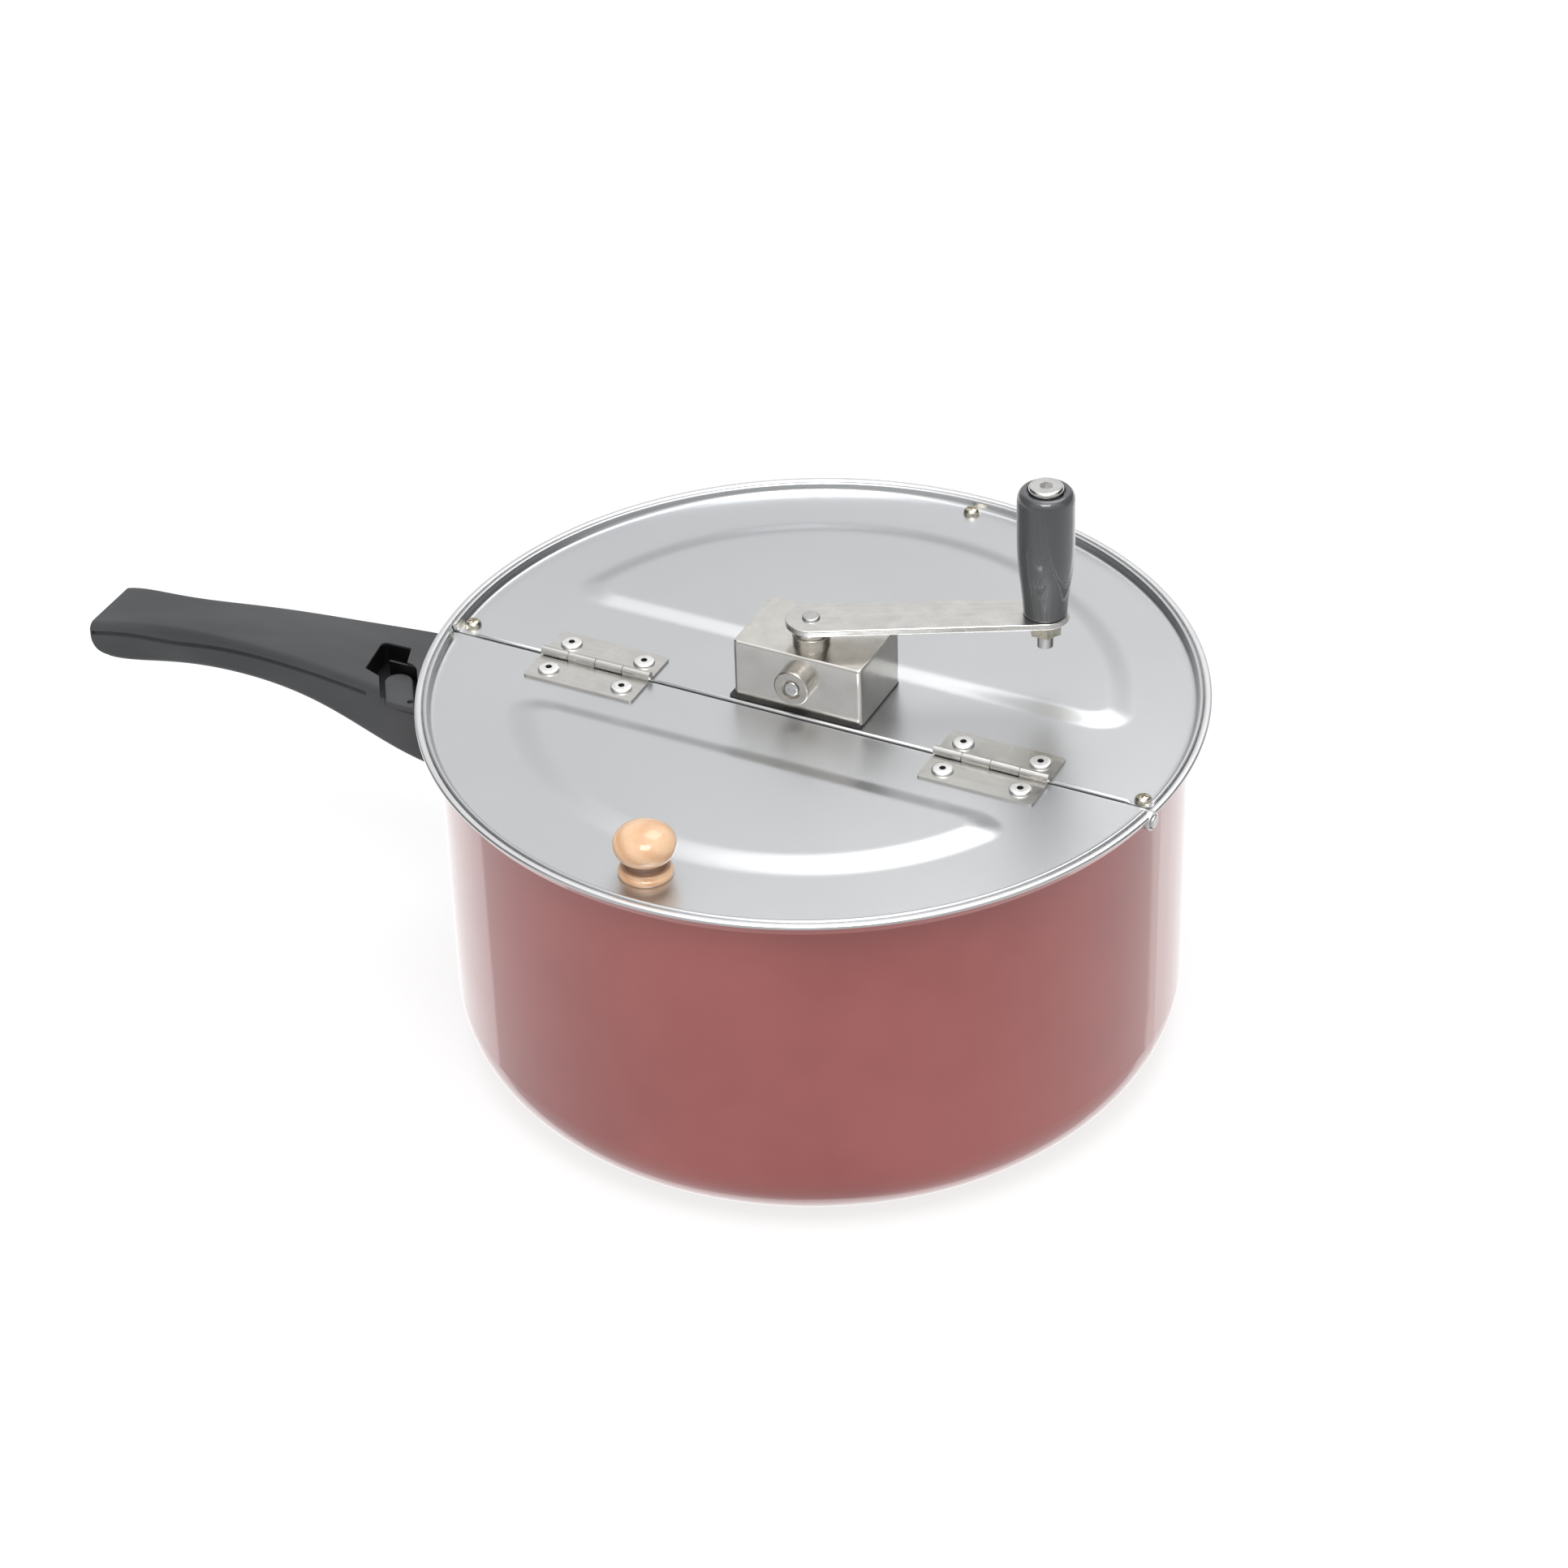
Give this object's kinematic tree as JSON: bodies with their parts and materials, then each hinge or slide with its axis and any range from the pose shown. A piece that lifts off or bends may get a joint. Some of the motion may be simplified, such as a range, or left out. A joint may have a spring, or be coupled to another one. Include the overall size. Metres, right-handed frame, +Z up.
{
  "type": "stovetop popcorn popper",
  "caption": "Hand-cranked stovetop popcorn popper: enamelled pot with one handle, half-hinged lid, mitre gearbox, crank with grip, wooden knob and wire stirrer.",
  "frame": {"origin": "centre of the pot's base, on the plane it stands on", "axes": "+Z up along the pot's axis; the handle points along -X; the hinge line is parallel to X and the flap lies towards -Y"},
  "size_m": [0.4055, 0.26, 0.2061],
  "materials": {
    "enamel": "glossy rose-red enamel on steel",
    "rim_metal": "bright satin",
    "lid_aluminium": "matt satin",
    "handle_plastic": "dark grey moulded phenolic, slightly textured",
    "grip_plastic": "dark grey, polished",
    "knob_wood": "light, varnished",
    "hinge_steel": "satin nickel plated",
    "rivet_aluminium": "bright",
    "gearbox_steel": "warm satin nickel plated",
    "gasket_rubber": "black",
    "bush_nickel": "nickel plated",
    "arm_steel": "satin nickel plated",
    "shaft_steel": "turned",
    "gear_steel": "sintered",
    "wire_steel": "drawn, plated",
    "bracket_steel": "pressed",
    "fasteners": "yellowish nickel plated"
  },
  "bodies": {
    "pot": {"pot_shell": "enamel", "lid_collar": "rim_metal", "rim_ring": "rim_metal", "rim_rivet": "fasteners", "handle": "handle_plastic", "handle_latch": "handle_plastic", "handle_bracket": "bracket_steel", "bracket_rivets": "fasteners", "handle_screw": "fasteners", "lid_fixed": "lid_aluminium", "lid_screws": "fasteners", "hinge_leaves_fixed": "hinge_steel", "hinge_rivets_fixed": "rivet_aluminium", "hinge_pins": "hinge_steel", "gearbox_gasket": "gasket_rubber", "gearbox_housing": "gearbox_steel", "gearbox_screws": "fasteners", "top_bush": "bush_nickel", "axle_bush": "bush_nickel", "idler_axle": "shaft_steel", "axle_screw": "fasteners", "stirrer_bush": "bush_nickel", "stirrer_bush_nut": "fasteners"},
    "flap": {"lid_flap": "lid_aluminium", "hinge_leaves_flap": "hinge_steel", "hinge_rivets_flap": "rivet_aluminium", "wooden_knob": "knob_wood", "knob_washer": "fasteners", "knob_screw": "fasteners"},
    "crank": {"crank_shaft": "shaft_steel", "crank_gear": "gear_steel", "crank_spacer": "bush_nickel", "crank_arm": "arm_steel", "grip_bolt": "fasteners", "grip_nut": "fasteners"},
    "grip": {"crank_grip": "grip_plastic"},
    "idler": {"idler_gear": "gear_steel"},
    "stirrer": {"stirrer_shaft": "shaft_steel", "stirrer_gear": "gear_steel", "shaft_clip": "fasteners", "stirrer_hub": "gear_steel", "stirrer_set_screw": "fasteners", "stirrer_wires": "wire_steel"}
  },
  "joints": [
    {"name": "flap_hinge", "type": "hinge", "parent": "pot", "child": "flap", "pos_m": [0, -0.015, 0.13], "axis": [-1, 0, 0], "range_deg": [0, 91.5]},
    {"name": "crank_turn", "type": "hinge", "parent": "pot", "child": "crank", "pos_m": [0, 0, 0.15], "axis": [0, 0, 1], "range_deg": [-270, 450]},
    {"name": "grip_spin", "type": "hinge", "parent": "crank", "child": "grip", "pos_m": [0.06784, 0.03382, 0.18], "axis": [0, 0, 1], "continuous": true},
    {"name": "idler_spin", "type": "hinge", "parent": "pot", "child": "idler", "pos_m": [0, -0.007, 0.14], "axis": [0, 1, 0], "range_deg": [-270, 450]},
    {"name": "stirrer_turn", "type": "hinge", "parent": "pot", "child": "stirrer", "pos_m": [0, 0, 0.06], "axis": [0, 0, 1], "range_deg": [-450, 270]}
  ],
  "couplings": [
    {"joint": "idler_spin", "follows": "crank_turn", "ratio": 1},
    {"joint": "stirrer_turn", "follows": "crank_turn", "ratio": -1}
  ]
}
